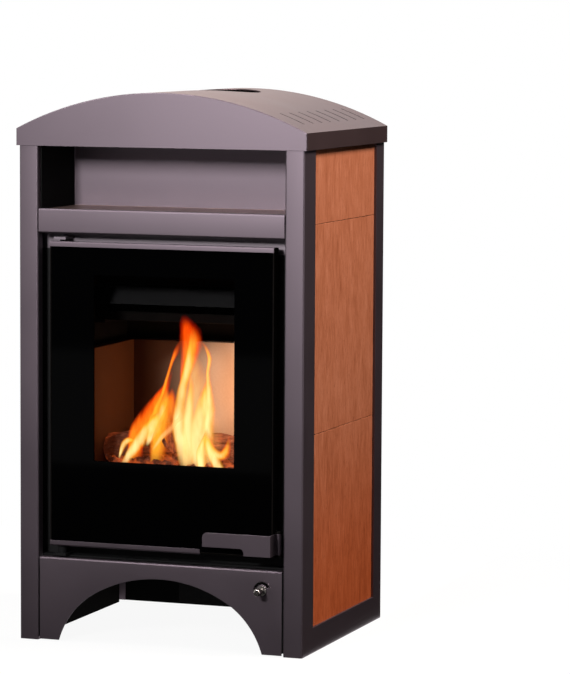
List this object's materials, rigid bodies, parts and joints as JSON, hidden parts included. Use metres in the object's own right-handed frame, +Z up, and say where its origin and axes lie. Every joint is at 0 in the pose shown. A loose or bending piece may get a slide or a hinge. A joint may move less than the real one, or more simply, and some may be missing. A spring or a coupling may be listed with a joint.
{
  "type": "boiler stove",
  "caption": "Free-standing wood-burning boiler stove with an arched steel cap, open shelf, wide glass door, arched plinth and wood-grain side tiles.",
  "frame": {"origin": "on the floor, under the middle of the whole object's bounding box", "axes": "+Z up, -Y out of the door side, +X to the right of someone facing the door"},
  "size_m": [0.58, 0.581, 1.042],
  "materials": {
    "casing_paint": "satin metallic paint",
    "tile_wood": "fine vertical grain, satin",
    "galvanised_steel": "galvanised sheet",
    "black_steel": "matt heat-proof paint",
    "fireclay": "matt fireclay",
    "cast_iron": "as cast",
    "clear_glass": "polished ceramic glass with a black enamel border",
    "gasket_cord": "woven glass-fibre cord",
    "bright_steel": "turned",
    "servo_plastic": "moulded",
    "lead_rubber": "matt",
    "socket_steel": "turned"
  },
  "bodies": {
    "casing": {"side_frame_right": "casing_paint", "side_frame_left": "casing_paint", "top_cover": "casing_paint", "top_deck": "casing_paint", "niche_liner": "casing_paint", "niche_rail": "casing_paint", "plinth_panel": "casing_paint", "rear_cover": "casing_paint", "right_tile_lower": "tile_wood", "right_tile_middle": "tile_wood", "right_tile_upper": "tile_wood", "left_tile_lower": "tile_wood", "left_tile_middle": "tile_wood", "left_tile_upper": "tile_wood", "tile_carrier_right": "galvanised_steel", "tile_carrier_left": "galvanised_steel", "air_box": "galvanised_steel", "foot_plates": "black_steel", "plinth_angles": "black_steel", "base_plate": "black_steel", "front_plate": "black_steel", "water_jacket": "black_steel", "firebox_shell": "black_steel", "exchanger_tubes": "black_steel", "flue_collar": "black_steel", "smoke_deflector": "black_steel", "ash_box": "black_steel", "ash_pan": "black_steel", "hinge_brackets": "black_steel", "latch_keeper": "black_steel", "air_inlet_duct": "black_steel", "servo_bracket": "black_steel", "lining_right": "fireclay", "lining_left": "fireclay", "lining_back": "fireclay", "hearth_plate": "fireclay", "flue_baffle": "fireclay", "grate": "cast_iron", "log_guard": "cast_iron", "hinge_pins": "bright_steel", "spindle_bush": "bright_steel", "rear_bolts": "bright_steel", "servo_motor": "servo_plastic", "servo_lead": "lead_rubber", "lead_grommet": "lead_rubber", "pipe_sockets": "socket_steel", "cooling_sockets": "socket_steel"},
    "door": {"door_frame": "black_steel", "door_glass": "clear_glass", "door_top_trim": "casing_paint", "door_bottom_trim": "casing_paint", "door_gasket": "gasket_cord", "handle_pin": "bright_steel"},
    "handle": {"door_handle": "casing_paint", "latch_hook": "black_steel"},
    "air_control": {"control_knob": "bright_steel", "control_spindle": "bright_steel", "air_shutter": "bright_steel"},
    "damper": {"damper_blade": "black_steel", "damper_shaft": "bright_steel"}
  },
  "joints": [
    {"name": "door_hinge", "type": "hinge", "parent": "casing", "child": "door", "pos_m": [-0.205, -0.2445, 0.47], "axis": [0, 0, -1], "range_deg": [0, 110]},
    {"name": "handle_pull", "type": "hinge", "parent": "door", "child": "handle", "pos_m": [0.231, -0.2425, 0.208], "axis": [0, 0, 1], "range_deg": [0, 18]},
    {"name": "air_knob_turn", "type": "hinge", "parent": "casing", "child": "air_control", "pos_m": [0.205, -0.2625, 0.1225], "axis": [0, 1, 0], "range_deg": [0, 148]},
    {"name": "damper_turn", "type": "hinge", "parent": "casing", "child": "damper", "pos_m": [0, 0.2305, 0.096], "axis": [1, 0, 0], "range_deg": [0, 90]}
  ]
}
